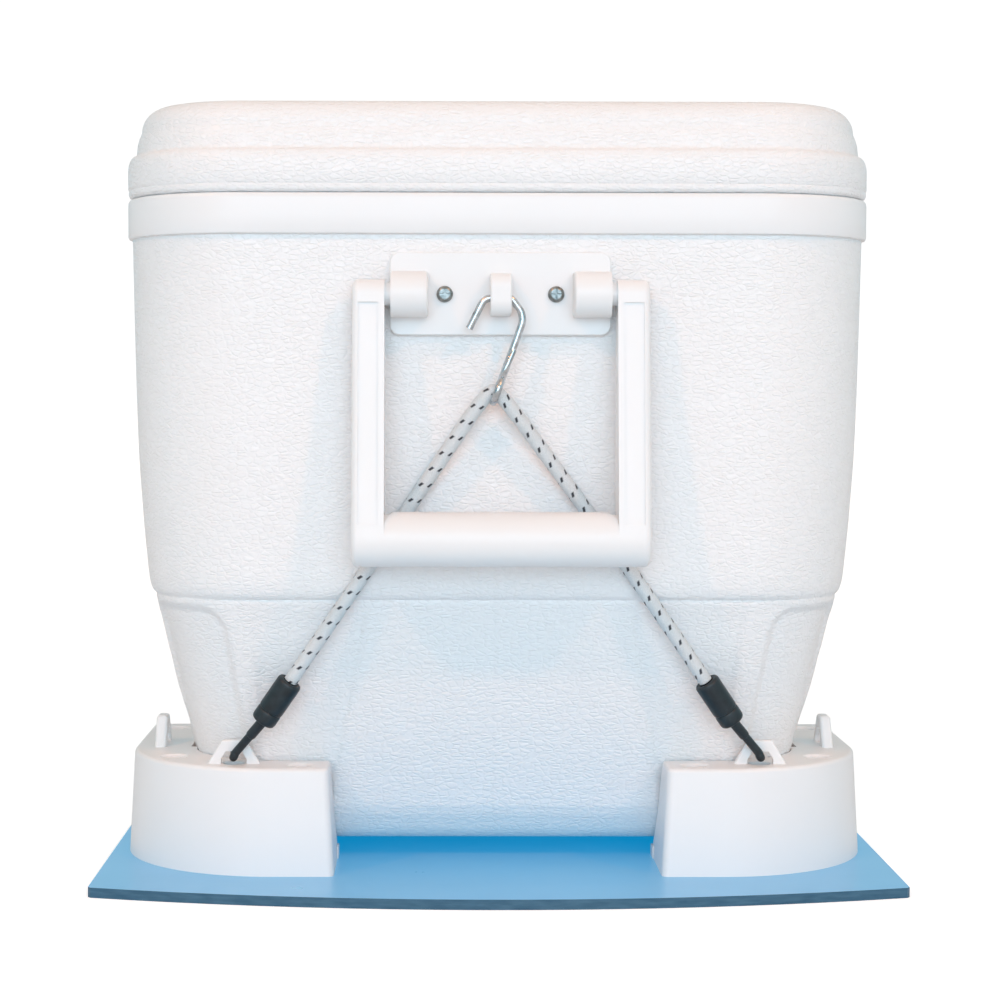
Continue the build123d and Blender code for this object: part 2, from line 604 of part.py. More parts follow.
# ---------------------------------------------------------------- shock cord and its end hooks
STEP_BEND = (69.2, -316.6, 146.7)   # where a leg leans on the overhang's lower edge, at |x|
CORD_END = (103.0, -306.6, 97.3)    # where a leg enters its ferrule, at |x|
FERRULE_LENGTH = 25.6
CORD_HEADING = (Vector(*CORD_END) - Vector(*STEP_BEND)).normalized()
FERRULE_END = tuple(Vector(*CORD_END) + CORD_HEADING * FERRULE_LENGTH)
FERRULE_R = 6.4
SHANK_R = 2.1
ARCH_TOP_H = CHOCK_TOP + END_EYE[7]
TIGHT_R = CORD_R + HOOK_WIRE


def cord_route():
    """The route of the cord's middle from the left ferrule to the right one."""
    x, y, height = CORD_TOP
    half = TIGHT_R * math.tan(math.radians(27.4)) + 0.1
    return [(-CORD_END[0],) + CORD_END[1:], (-STEP_BEND[0],) + STEP_BEND[1:],
            (x - half, y, height), (x + half, y, height), STEP_BEND, CORD_END]


def corner_radii(route):
    """The arc at each corner: small over an edge or round the hook's wire, as the taut cord lies."""
    spots = [Vector(*spot) for spot in route]
    radii = []
    for before, here, after in zip(spots, spots[1:], spots[2:]):
        first, second = here - before, after - here
        turn = math.radians(first.get_angle(second))
        shorter = min(first.length, second.length)
        radii.append(min(0.45 * shorter / math.tan(turn / 2), 60.0))
    return radii


def cord():
    route = cord_route()
    radii = corner_radii(route)
    path = FilletPolyline(*[point(*spot) for spot in route], radius=radii)
    tube = sweep(Plane(path @ 0, z_dir=path % 0) * Circle(CORD_R), path=path)
    print("cord length", round(path.length, 1), "tightest bend", round(min(radii), 1))
    return tube


def ferrule(side):
    """The crimped sleeve over the cord's end."""
    top = (side * CORD_END[0],) + CORD_END[1:]
    end = (side * FERRULE_END[0],) + FERRULE_END[1:]
    sleeve = rod(top, end, FERRULE_R)
    return fillet(sleeve.edges().filter_by(GeomType.CIRCLE), 1.8)


def cord_hook(side):
    """The hook below the sleeve: its shank, and a bow that catches under the chock's arch."""
    start = (side * FERRULE_END[0],) + FERRULE_END[1:]
    front = -ARCH_Y - END_EYE[0] / 2 - SHANK_R - 0.4
    back = -ARCH_Y + END_EYE[0] / 2 + SHANK_R + 0.4
    low = ARCH_TOP_H - SHANK_R - 0.8
    x = side * ARCH_X
    path = FilletPolyline(point(*start), point(x - side * 1.2, front, low + 2.6), point(x, front, low),
                          point(x, back, low), point(x, back, low + 6.0), radius=[2.6, 1.2, 3.9])
    wire = sweep(Plane(path @ 0, z_dir=path % 0) * Circle(SHANK_R), path=path)
    return wire


front_cord = cord()
save("shock_cord_front", front_cord)
save("shock_cord_rear", turned(front_cord))
for side, tag in ((-1, "left"), (1, "right")):
    other = "right" if side < 0 else "left"
    for build, name in ((ferrule, "cord_ferrule"), (cord_hook, "cord_hook")):
        piece = build(side)
        save(name + "_front_" + tag, piece)
        save(name + "_rear_" + other, turned(piece))

# ---------------------------------------------------------------- drain nodes
FLANGE_T = 4.0
GASKET_T = 2.0
flange_start = DRAIN_SEAT + GASKET_T
fitting = along_y(SPOUT_R, NUT_BACK, flange_start + FLANGE_T)
fitting += along_y(19.0, flange_start, flange_start + FLANGE_T)
fitting = fillet(fitting.edges().group_by(Axis.Y)[-1], 1.2)
fitting -= along_y(DRAIN_BORE, NUT_BACK - 1, flange_start + FLANGE_T + 1)
gasket = along_y(18.0, DRAIN_SEAT, flange_start) - along_y(SPOUT_R, DRAIN_SEAT - 1, flange_start + 1)
nut_face = Plane(origin=(0, CAVITY_END - 4, at(DRAIN_HEIGHT)), z_dir=(0, -1, 0))
nut = extrude(nut_face * RegularPolygon(18.0, 6), amount=6) - along_y(SPOUT_R, 200, 330)
plug_start = flange_start + FLANGE_T - 16.0
stopper = along_y(DRAIN_BORE - 0.06, plug_start, flange_start + FLANGE_T)
stopper += along_y(13.0, flange_start + FLANGE_T + 0.3, flange_start + FLANGE_T + 4.3)
stopper += along_y(DRAIN_BORE - 0.4, flange_start + FLANGE_T - 1, flange_start + FLANGE_T + 1)
tab = block((-2.0, 2.0), (flange_start + FLANGE_T + 4, flange_start + FLANGE_T + 13),
            (DRAIN_HEIGHT - 9, DRAIN_HEIGHT + 9))
stopper += fillet(tab.edges().filter_by(Axis.X).sort_by(Axis.Y)[-2:], 4.0)
save("drain_fitting", fitting)
save("drain_gasket", gasket)
save("drain_nut", nut)
save("drain_plug", stopper)

# ---------------------------------------------------------------- tub and lid nodes
save("outer_shell", outer_shell)
save("insulation_foam", foam)
save("inner_liner", inner_liner)
save("rim_collar", rim_collar)
save("lid_shell", lid_shell)
save("lid_foam", lid_foam)
save("lid_liner", lid_liner)
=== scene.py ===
import json
import math

import bpy
from mathutils import Matrix, Vector


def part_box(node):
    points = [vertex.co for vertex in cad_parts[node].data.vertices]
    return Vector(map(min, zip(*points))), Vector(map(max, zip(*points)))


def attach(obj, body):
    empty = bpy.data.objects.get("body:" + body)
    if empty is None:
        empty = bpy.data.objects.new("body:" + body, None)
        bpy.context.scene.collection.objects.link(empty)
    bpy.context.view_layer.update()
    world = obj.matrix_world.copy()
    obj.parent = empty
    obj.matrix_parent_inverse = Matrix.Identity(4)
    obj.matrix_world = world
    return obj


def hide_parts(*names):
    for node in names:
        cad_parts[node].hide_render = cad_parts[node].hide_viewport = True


# An ice chest strapped to a base plate by corner chocks and shock cords.
# Lengths below are in millimetres unless a name says otherwise; MM turns them into metres.

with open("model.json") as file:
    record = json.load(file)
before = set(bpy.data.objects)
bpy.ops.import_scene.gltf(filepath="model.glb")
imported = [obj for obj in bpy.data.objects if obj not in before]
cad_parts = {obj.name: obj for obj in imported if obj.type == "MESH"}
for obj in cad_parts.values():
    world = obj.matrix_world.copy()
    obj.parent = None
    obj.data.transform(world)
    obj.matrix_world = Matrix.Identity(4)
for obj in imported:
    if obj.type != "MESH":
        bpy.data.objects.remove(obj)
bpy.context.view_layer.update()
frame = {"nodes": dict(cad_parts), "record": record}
MM = 0.001

plate_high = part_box("base_plate")[1]
collar_low, collar_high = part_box("rim_collar")
lid_low, lid_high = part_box("lid_shell")
DECK = plate_high[2] / MM               # the plate's top, the datum of every height
HALF_W = collar_high[0] / MM            # half the rim's width
HALF_L = collar_high[1] / MM            # half the rim's length
RIM_CORNER = 62.0                       # corner radius of the rim's outline
COLLAR_BASE = collar_low[2] / MM - DECK
COLLAR_TOP = collar_high[2] / MM - DECK
LID_BASE = lid_low[2] / MM - DECK
LID_TOP = lid_high[2] / MM - DECK
BAND_TOP = 358.3                        # the lid's upright band ends here and its dome starts
WALL = 3.0


# ---------------------------------------------------------------- mesh helpers
def new_object(name, mesh, body, material, smooth_angle=35):
    """A piece that rides a body and takes a material, smooth but for its sharp edges."""
    piece = bpy.data.objects.new(name, mesh)
    bpy.context.scene.collection.objects.link(piece)
    mesh.materials.clear()
    mesh.materials.append(material)
    for polygon in mesh.polygons:
        polygon.use_smooth = True
    if smooth_angle:
        mesh.set_sharp_from_angle(angle=math.radians(smooth_angle))
    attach(piece, body)
    return piece


def mesh_from(name, points, faces):
    mesh = bpy.data.meshes.new(name)
    mesh.from_pydata([tuple(c * MM for c in p) for p in points], [], faces)
    mesh.update()
    return mesh


def plan_loop(half_x, half_y, radius, end_steps, side_steps, corner_steps):
    """A rounded rectangle as (x, y, outward x, outward y), anticlockwise from the front end's left.

    The end runs lie along X and the side runs along Y."""
    inner_x, inner_y = half_x - radius, half_y - radius
    loop = []
    centres = [(inner_x, -inner_y, -90), (inner_x, inner_y, 0), (-inner_x, inner_y, 90),
               (-inner_x, -inner_y, 180)]
    runs = [((-inner_x, -half_y), (inner_x, -half_y), (0, -1), end_steps),
            ((half_x, -inner_y), (half_x, inner_y), (1, 0), side_steps),
            ((inner_x, half_y), (-inner_x, half_y), (0, 1), end_steps),
            ((-half_x, inner_y), (-half_x, -inner_y), (-1, 0), side_steps)]
    for (start, stop, normal, steps), (cx, cy, first) in zip(runs, centres):
        for i in range(steps):
            share = i / steps
            loop.append((start[0] + share * (stop[0] - start[0]),
                         start[1] + share * (stop[1] - start[1]), *normal))
        for i in range(corner_steps):
            angle = math.radians(first + 90 * i / corner_steps)
            out_x, out_y = math.cos(angle), math.sin(angle)
            loop.append((cx + radius * out_x, cy + radius * out_y, out_x, out_y))
    return loop


def skin(rings, closed=False, cap_first=True, cap_last=True):
    """Points and faces of rings of equal count, joined one to the next."""
    count = len(rings[0])
    points = [p for ring in rings for p in ring]
    faces = []
    pairs = len(rings) if closed else len(rings) - 1
    for r in range(pairs):
        a, b = r * count, ((r + 1) % len(rings)) * count
        for i in range(count):
            j = (i + 1) % count
            faces.append((a + i, a + j, b + j, b + i))
    if not closed:
        if cap_first:
            faces.append(tuple(reversed(range(count))))
        if cap_last:
            faces.append(tuple(range((len(rings) - 1) * count, len(rings) * count)))
    return points, faces


def ring_stack(rings, end_steps=10, side_steps=16, corner_steps=28, closed=False):
    """The skin through rings given as (half x, half y, corner radius, height)."""
    loops = []
    for half_x, half_y, radius, height in rings:
        loops.append([(x, y, DECK + height)
                      for x, y, _, _ in plan_loop(half_x, half_y, radius, end_steps, side_steps,
                                                  corner_steps)])
    return skin(loops, closed)


def rim_rings(profile):
    """Rings that follow the rim's outline, given as (inset, height)."""
    return [(HALF_W - inset, HALF_L - inset, max(RIM_CORNER - inset, 4.0), height)
            for inset, height in profile]


def arc_profile(inset, height, radius, steps):
    """A quarter round that starts upright at (inset, height) and turns inwards."""
    return [(inset + radius * (1 - math.cos(math.pi / 2 * i / steps)),
             height + radius * math.sin(math.pi / 2 * i / steps)) for i in range(steps + 1)]


def smooth_step(low, high, value):
    share = min(max((value - low) / (high - low), 0.0), 1.0)
    return share * share * (3 - 2 * share)


# ---------------------------------------------------------------- material helpers
def link(tree, out, into):
    tree.links.new(out, into)


def node(tree, kind, **values):
    made = tree.nodes.new(kind)
    for key, value in values.items():
        if hasattr(made, key) and key not in made.inputs:
            setattr(made, key, value)
        else:
            made.inputs[key].default_value = value
    return made


def start_material(name, roughness=0.4, metallic=0.0, **shader_values):
    material = bpy.data.materials.new(name)
    material.use_nodes = True
    tree = material.node_tree
    shader = tree.nodes["Principled BSDF"]
    shader.inputs["Roughness"].default_value = roughness
    shader.inputs["Metallic"].default_value = metallic
    for key, value in shader_values.items():
        shader.inputs[key.replace("_", " ")].default_value = value
    return material, tree, shader


def object_space(tree, stretch=(1, 1, 1)):
    place = node(tree, "ShaderNodeTexCoord")
    mapping = node(tree, "ShaderNodeMapping")
    mapping.inputs["Scale"].default_value = stretch
    link(tree, place.outputs["Object"], mapping.inputs["Vector"])
    return mapping.outputs["Vector"]


def noise(tree, vector, scale, detail=3.0, roughness=0.5):
    made = node(tree, "ShaderNodeTexNoise")
    made.inputs["Scale"].default_value = scale
    made.inputs["Detail"].default_value = detail
    made.inputs["Roughness"].default_value = roughness
    link(tree, vector, made.inputs["Vector"])
    return made.outputs["Fac"]


def ramp(tree, value, stops):
    made = node(tree, "ShaderNodeValToRGB")
    elements = made.color_ramp.elements
    while len(elements) < len(stops):
        elements.new(0.5)
    for element, (position, colour) in zip(elements, stops):
        element.position = position
        element.color = (*colour, 1)
    link(tree, value, made.inputs["Fac"])
    return made.outputs["Color"]


def spread(tree, value, low, high):
    """The 0 to 1 value mapped to low to high."""
    made = node(tree, "ShaderNodeMapRange")
    made.inputs["To Min"].default_value = low
    made.inputs["To Max"].default_value = high
    link(tree, value, made.inputs["Value"])
    return made.outputs["Result"]


def maths(tree, operation, first, second):
    made = node(tree, "ShaderNodeMath")
    made.operation = operation
    for socket, value in zip(made.inputs, (first, second)):
        if isinstance(value, (int, float)):
            socket.default_value = value
        else:
            link(tree, value, socket)
    return made.outputs["Value"]


def bump(tree, shader, height, distance_m, strength=1.0, under=None):
    made = node(tree, "ShaderNodeBump")
    made.inputs["Strength"].default_value = strength
    made.inputs["Distance"].default_value = distance_m
    link(tree, height, made.inputs["Height"])
    if under is not None:
        link(tree, under, made.inputs["Normal"])
    link(tree, made.outputs["Normal"], shader.inputs["Normal"])
    return made.outputs["Normal"]


def tint(colour, factor):
    return tuple(min(c * factor, 1.0) for c in colour)


# ---------------------------------------------------------------- materials
def grained_plastic(name, colour, cell_mm=2.6, depth_m=0.00036):
    """Satin white plastic with a leather grain: irregular cells between fine valleys."""
    material, tree, shader = start_material(name, roughness=0.38, Specular_IOR_Level=0.55)
    space = object_space(tree, (0.6, 0.6, 1.15))
    warp = node(tree, "ShaderNodeTexNoise")
    warp.inputs["Scale"].default_value = 300.0 / cell_mm
    warp.inputs["Detail"].default_value = 2.0
    link(tree, space, warp.inputs["Vector"])
    shift = node(tree, "ShaderNodeVectorMath", operation="MULTIPLY_ADD")
    link(tree, warp.outputs["Color"], shift.inputs[0])
    shift.inputs[1].default_value = (0.0022, 0.0022, 0.0022)
    link(tree, space, shift.inputs[2])
    cells = node(tree, "ShaderNodeTexVoronoi", feature="DISTANCE_TO_EDGE")
    cells.inputs["Scale"].default_value = 1000.0 / cell_mm
    link(tree, shift.outputs["Vector"], cells.inputs["Vector"])
    valleys = node(tree, "ShaderNodeMapRange", interpolation_type="SMOOTHSTEP")
    valleys.inputs["From Max"].default_value = 0.22
    link(tree, cells.outputs["Distance"], valleys.inputs["Value"])
    lumps = noise(tree, space, 1000.0 / (cell_mm * 1.4), 4.0, 0.6)
    height = maths(tree, "ADD", maths(tree, "MULTIPLY", valleys.outputs["Result"], 0.55), lumps)
    bump(tree, shader, height, depth_m)
    tone = noise(tree, space, 9.0, 4.0)
    link(tree, ramp(tree, tone, [(0.3, tint(colour, 0.975)), (0.7, colour)]), shader.inputs["Base Color"])
    link(tree, spread(tree, lumps, 0.28, 0.46), shader.inputs["Roughness"])
    return material


def smooth_plastic(name, colour, rough=(0.26, 0.38), ripple_m=0.00005):
    """Smooth moulded plastic: a faint flow ripple, fine scuffs and a little tone."""
    material, tree, shader = start_material(name, roughness=0.32, Specular_IOR_Level=0.5)
    space = object_space(tree)
    flow = noise(tree, space, 60.0, 3.0)
    fine = noise(tree, space, 2200.0, 2.0, 0.6)
    height = maths(tree, "ADD", flow, maths(tree, "MULTIPLY", fine, 0.12))
    bump(tree, shader, height, ripple_m)
    link(tree, ramp(tree, noise(tree, space, 14.0, 4.0), [(0.3, tint(colour, 0.98)), (0.7, colour)]),
         shader.inputs["Base Color"])
    link(tree, spread(tree, noise(tree, space, 120.0, 5.0, 0.7), *rough), shader.inputs["Roughness"])
    return material


def plated_steel(name, dull, clean, rough):
    """Zinc-plated steel: fine drawing marks and faint cloudiness between a dull and a clean colour."""
    material, tree, shader = start_material(name, roughness=0.2, metallic=1.0)
    space = object_space(tree)
    cloud = noise(tree, space, 260.0, 4.0, 0.6)
    link(tree, ramp(tree, cloud, [(0.3, dull), (0.7, clean)]), shader.inputs["Base Color"])
    link(tree, spread(tree, cloud, *rough), shader.inputs["Roughness"])
    bump(tree, shader, noise(tree, space, 1500.0, 3.0), 0.00003)
    return material


def black_fitting(name):
    """Dark moulded nylon with a slightly worn sheen."""
    material, tree, shader = start_material(name, roughness=0.45, Specular_IOR_Level=0.5)
    space = object_space(tree)
    wear = noise(tree, space, 180.0, 5.0, 0.65)
    link(tree, ramp(tree, wear, [(0.35, (0.004, 0.010, 0.014)), (0.75, (0.014, 0.028, 0.036))]),
         shader.inputs["Base Color"])
    link(tree, spread(tree, wear, 0.3, 0.55), shader.inputs["Roughness"])
    bump(tree, shader, noise(tree, space, 1300.0, 3.0), 0.00008)
    return material


def blue_panel(name):
    """Blue translucent sheet, darker at its sawn edge, whose top face glows: the glow is painted light that
    keeps the sheet bright blue even in the chest's shade.
    """
    material, tree, shader = start_material(name, roughness=0.3, Specular_IOR_Level=0.3,
                                            Emission_Strength=1.0)
    space = object_space(tree)
    geometry = node(tree, "ShaderNodeNewGeometry")
    split = node(tree, "ShaderNodeSeparateXYZ")
    link(tree, geometry.outputs["Normal"], split.inputs["Vector"])
    face = maths(tree, "ABSOLUTE", split.outputs["Z"], 0.0)
    cloud = noise(tree, space, 6.0, 3.0)
    saw = noise(tree, object_space(tree, (1, 1, 6)), 90.0, 3.0)
    # The emission colour is painted light: a strong blue glow on the top face, almost none on the sawn
    # edge.
    pairs = [("Base Color", ramp(tree, saw, [(0.3, (0.03, 0.09, 0.15)), (0.7, (0.06, 0.13, 0.2))]),
              ramp(tree, cloud, [(0.3, (0.2, 0.32, 0.4)), (0.7, (0.22, 0.34, 0.42))])),
             ("Emission Color", ramp(tree, saw, [(0.3, (0.0, 0.01, 0.02)), (0.7, (0.0, 0.02, 0.03))]),
              ramp(tree, cloud, [(0.3, (0.0, 0.15, 0.31)), (0.7, (0.0, 0.16, 0.33))]))]
    for socket, edge, top in pairs:
        mix = node(tree, "ShaderNodeMix", data_type="RGBA")
        link(tree, face, mix.inputs["Factor"])
        link(tree, edge, mix.inputs["A"])
        link(tree, top, mix.inputs["B"])
        link(tree, mix.outputs["Result"], shader.inputs[socket])
    link(tree, spread(tree, noise(tree, space, 25.0, 4.0), 0.24, 0.36), shader.inputs["Roughness"])
    bump(tree, shader, noise(tree, space, 18.0, 2.0), 0.00003)
    return material


def foam(name):
    """Pale closed-cell foam, pitted."""
    material, tree, shader = start_material(name, roughness=0.9)
    space = object_space(tree)
    cells = node(tree, "ShaderNodeTexVoronoi")
    cells.inputs["Scale"].default_value = 700.0
    link(tree, space, cells.inputs["Vector"])
    bump(tree, shader, cells.outputs["Distance"], 0.0006)
    link(tree, ramp(tree, noise(tree, space, 30.0), [(0.3, (0.72, 0.62, 0.36)), (0.7, (0.84, 0.76, 0.5))]),
         shader.inputs["Base Color"])
    return material


def soft_rubber(name):
    material, tree, shader = start_material(name, roughness=0.7)
    space = object_space(tree)
    grime = noise(tree, space, 300.0, 4.0)
    link(tree, ramp(tree, grime, [(0.3, (0.015, 0.015, 0.016)), (0.7, (0.035, 0.035, 0.037))]),
         shader.inputs["Base Color"])
    bump(tree, shader, noise(tree, space, 1800.0, 2.0), 0.00006)
    return material


def braided_sheath(name):
    """Woven white sheath. The mesh's strand value darkens the tracer strands."""
    material, tree, shader = start_material(name, roughness=0.38, Specular_IOR_Level=0.6)
    space = object_space(tree)
    strand = node(tree, "ShaderNodeAttribute", attribute_name="tracer")
    fuzz = noise(tree, space, 3500.0, 3.0, 0.7)
    white = ramp(tree, fuzz, [(0.3, (0.5, 0.55, 0.58)), (0.7, (0.8, 0.83, 0.84))])
    dark = ramp(tree, fuzz, [(0.3, (0.008, 0.01, 0.02)), (0.7, (0.03, 0.035, 0.05))])
    mix = node(tree, "ShaderNodeMix", data_type="RGBA")
    link(tree, strand.outputs["Fac"], mix.inputs["Factor"])
    link(tree, white, mix.inputs["A"])
    link(tree, dark, mix.inputs["B"])
    link(tree, mix.outputs["Result"], shader.inputs["Base Color"])
    bump(tree, shader, fuzz, 0.0002)
    return material


WHITE = (0.86, 0.86, 0.865)
MATERIALS = {
    "grained_plastic": grained_plastic("grained white plastic", WHITE),
    "smooth_plastic": smooth_plastic("smooth white plastic", (0.83, 0.835, 0.84), (0.34, 0.46)),
    "liner_plastic": smooth_plastic("white liner plastic", (0.85, 0.85, 0.84), (0.18, 0.3)),
    "bright_steel": plated_steel("bright zinc steel", (0.4, 0.43, 0.45), (0.74, 0.76, 0.78), (0.12, 0.3)),
    "black_fitting": black_fitting("black nylon"),
    "blue_panel": blue_panel("blue sheet with painted glow"),
    "foam": foam("closed-cell foam"),
    "rubber": soft_rubber("black rubber"),
    "braided_cord": braided_sheath("braided sheath"),
}
# The screws' dark steel colour is a painted reflection: it stands in for dark surroundings mirrored in the
# heads.
SCREW_STEEL_PAINTED_DARK = plated_steel("screw steel with painted dark reflection", (0.13, 0.15, 0.15), (0.42, 0.44, 0.43), (0.25, 0.45))
slots = {entry["node"]: entry["material_slot"] for entry in frame["record"]["subparts"]}
for name, piece in frame["nodes"].items():
    for index in range(max(len(piece.material_slots), 1)):
        if not piece.material_slots:
            piece.data.materials.append(None)
        piece.material_slots[index].material = SCREW_STEEL_PAINTED_DARK if "screws" in name else MATERIALS[slots[name]]


# ---------------------------------------------------------------- tub
def monotone(knots):
    """A smooth curve through (height, value) knots that never overshoots them."""
    xs = [k[0] for k in knots]
    ys = [k[1] for k in knots]
    slopes = [(ys[i + 1] - ys[i]) / (xs[i + 1] - xs[i]) for i in range(len(xs) - 1)]
    tangents = [slopes[0]]
    for left, right in zip(slopes, slopes[1:]):
        tangents.append(0.0 if left * right <= 0 else 2 * left * right / (left + right))
    tangents.append(slopes[-1])

    def value(x):
        i = 0
        while i < len(slopes) - 1 and x > xs[i + 1]:
            i += 1
        step = xs[i + 1] - xs[i]
        t = min(max((x - xs[i]) / step, 0.0), 1.0)
        return ((2 * t ** 3 - 3 * t ** 2 + 1) * ys[i] + (t ** 3 - 2 * t ** 2 + t) * step * tangents[i]
                + (3 * t ** 2 - 2 * t ** 3) * ys[i + 1] + (t ** 3 - t ** 2) * step * tangents[i + 1])
    return value


TUB_BOTTOM, CREASE, STEP = 9.2, 26.5, 137.6
# Half width, half length and corner radius of the outside, at the crease and at the step
LOWER = {"x": (153.6, 175.3), "y": (270.5, 307.5), "r": (41.0, 52.0)}
FLOOR_EDGE = {"x": 144.0, "y": 258.0, "r": 34.0}
UPPER_HEIGHTS = (138.2, 140.5, 145.0, 155.0, 176.0, 216.0, 257.0, 317.0)
UPPER = {"x": (176.0, 177.2, 178.3, 179.3, 181.0, 183.4, 184.4, 185.4),
         "y": (308.5, 310.2, 311.8, 313.6, 316.0, 318.6, 320.2, 322.0),
         "r": (54.0, 55.0, 56.0, 57.0, 58.0, 59.5, 60.0, 60.0)}
upper_curve = {key: monotone(list(zip(UPPER_HEIGHTS, values))) for key, values in UPPER.items()}
BOTTOM_ROUND = 7.0
PILLAR_DEPTH = 3.0              # the corner pillars stand this far behind the panels
END_PANEL = (121.0, 138.0)      # half width of an end panel at the crease and at the step
SIDE_PANEL = (224.0, 261.0)     # half length of a side panel at the crease and at the step
PANEL_TOP = 133.6
PANEL_CORNER = 13.0
PILLAR_FADE = (16, 30)          # heights over which the pillars' depth comes in
VALLEY = (68.3, 121.6, 0.197)   # half distance between an end's valley lines, at a height, and their spread
VALLEY_FOOT = (20, 32)          # heights over which the valleys come in
VALLEY_HEAD = (124, 138)        # and go out
VALLEY_DEPTH, VALLEY_WIDTH = 1.1, 1.3
SHOULDER_DEPTH = 0.9            # the end stands this far back past its valley lines
PARTING_RIDGE, PARTING_WIDTH = 0.35, 0.7
TUB_STEPS = (150, 40, 44)       # points along each end, each side and each corner


def tub_size(height):
    """Half x, half y and corner radius of the tub's outside at a height."""
    if height > STEP:
        return [upper_curve[key](height) for key in "xyr"]
    if height >= CREASE:
        share = (height - CREASE) / (STEP - CREASE)
        return [LOWER[key][0] + share * (LOWER[key][1] - LOWER[key][0]) for key in "xyr"]
    share = (height - TUB_BOTTOM) / (CREASE - TUB_BOTTOM)
    size = [FLOOR_EDGE[key] + share * (LOWER[key][0] - FLOOR_EDGE[key]) for key in "xyr"]
    lift = height - TUB_BOTTOM
    if lift < BOTTOM_ROUND:
        tuck = BOTTOM_ROUND - math.sqrt(BOTTOM_ROUND ** 2 - (BOTTOM_ROUND - lift) ** 2)
        size = [value - tuck for value in size]
    return size


def tub_relief(x, y, out_x, out_y, half_x, half_y, radius, height):
    """How far the outside stands back at a point of the lower body."""
    if height >= STEP - 0.5:
        return 0.0
    share = max((height - CREASE) / (STEP - CREASE), 0.0)
    end_edge = END_PANEL[0] + (END_PANEL[1] - END_PANEL[0]) * share
    side_edge = SIDE_PANEL[0] + (SIDE_PANEL[1] - SIDE_PANEL[0]) * share
    inner_x, inner_y = half_x - radius, half_y - radius
    if out_x and out_y:
        turn = math.atan2(abs(out_x), abs(out_y))
        past_end = inner_x + radius * turn - end_edge
        past_side = inner_y + radius * (math.pi / 2 - turn) - side_edge
    elif out_y:
        past_end, past_side = abs(x) - end_edge, 999.0
    else:
        past_end, past_side = 999.0, abs(y) - side_edge
    inward = min(past_end, past_side)
    below = PANEL_TOP - height
    gap_a, gap_b = max(PANEL_CORNER - inward, 0.0), max(PANEL_CORNER - below, 0.0)
    inside = PANEL_CORNER - math.hypot(gap_a, gap_b)
    if inward < 0 or below < 0:
        inside = min(inward, below)
    relief = PILLAR_DEPTH * smooth_step(-1.2, 3.4, inside) * smooth_step(*PILLAR_FADE, height)
    if out_y and not out_x:
        past = abs(x) - (VALLEY[0] + (VALLEY[1] - height) * VALLEY[2])
        fade = smooth_step(*VALLEY_FOOT, height)
        if height > VALLEY_HEAD[0]:
            fade = smooth_step(VALLEY_HEAD[1], VALLEY_HEAD[0], height)
        relief += fade * (SHOULDER_DEPTH * smooth_step(-1.0, 4.0, past)
                          + VALLEY_DEPTH * math.exp(-(past / VALLEY_WIDTH) ** 2))
    return relief


def tub_rows():
    """Heights of the outside's rows, closer together where the shape turns."""
    rows = [TUB_BOTTOM + BOTTOM_ROUND * (1 - math.cos(math.radians(a))) for a in range(0, 91, 15)]
    rows += [19.5, 22.5, 24.8, 26.0, 26.8, 27.4, 28.2, 29.5]
    height = 32.0
    while height < 118:
        rows.append(height)
        height += 3.0
    while height < STEP - 0.6:
        rows.append(height)
        height += 0.9
    rows += [STEP - 0.4, STEP, STEP + 0.6]
    height = STEP + 1.2
    while height < STEP + 13:
        rows.append(height)
        height += 0.9
    while height < COLLAR_BASE - 1:
        rows.append(height)
        height += 6.0
    return rows + [COLLAR_BASE + 0.5]


def crease_groove(height):
    """The fine groove at the crease and at the step."""
    return (0.45 * math.exp(-((height - CREASE) / 1.1) ** 2)
            + 0.5 * math.exp(-((height - STEP) / 0.9) ** 2))


def build_tub():
    """The tub's outside and, joined over the rim, the back of its wall."""
    loops = []
    for height in tub_rows():
        half_x, half_y, radius = tub_size(height)
        loop = []
        for x, y, out_x, out_y in plan_loop(half_x, half_y, radius, *TUB_STEPS):
            back = tub_relief(x, y, out_x, out_y, half_x, half_y, radius, height)
            back += crease_groove(height)
            if out_y and not out_x and height > 15:
                back -= PARTING_RIDGE * math.exp(-(x / PARTING_WIDTH) ** 2)
            loop.append((x - back * out_x, y - back * out_y, DECK + height))
        loops.append(loop)
    inside = []
    for height in (COLLAR_BASE + 0.5, 257, 216, 176, 155, 145, STEP + 1, STEP - 1.5, 80, CREASE,
                   TUB_BOTTOM + WALL):
        half_x, half_y, radius = tub_size(height)
        back = WALL + (PILLAR_DEPTH if height < STEP else 0)
        inside.append([(x - back * out_x, y - back * out_y, DECK + height)
                       for x, y, out_x, out_y in plan_loop(half_x, half_y, radius, *TUB_STEPS)])
    points, faces = skin(loops + inside)
    return mesh_from("tub_shell", points, faces)


DRAIN_HEIGHT = 62.0
DRAIN_SEAT = 272.0              # Y of the flat seat sunk into the rear end
DRAIN_POCKET = 25.0             # radius of the sunk seat
SPOUT_R = 12.0
DRILL_FROM, DRILL_TO = 200.0, 330.0     # Y of the cuts' ends, clear of the wall


def drum(name, radius, start, stop, steps=96):
    """A round bar along Y at the drain's height; stop may be a function of the height."""
    ends = []
    for end in (start, stop):
        ring = []
        for i in range(steps):
            angle = 2 * math.pi * i / steps
            height = DRAIN_HEIGHT + radius * math.sin(angle)
            ring.append((radius * math.cos(angle), end(height) if callable(end) else end, DECK + height))
        ends.append(ring)
    points, faces = skin(ends)
    return bpy.data.objects.new(name, mesh_from(name, points, faces))


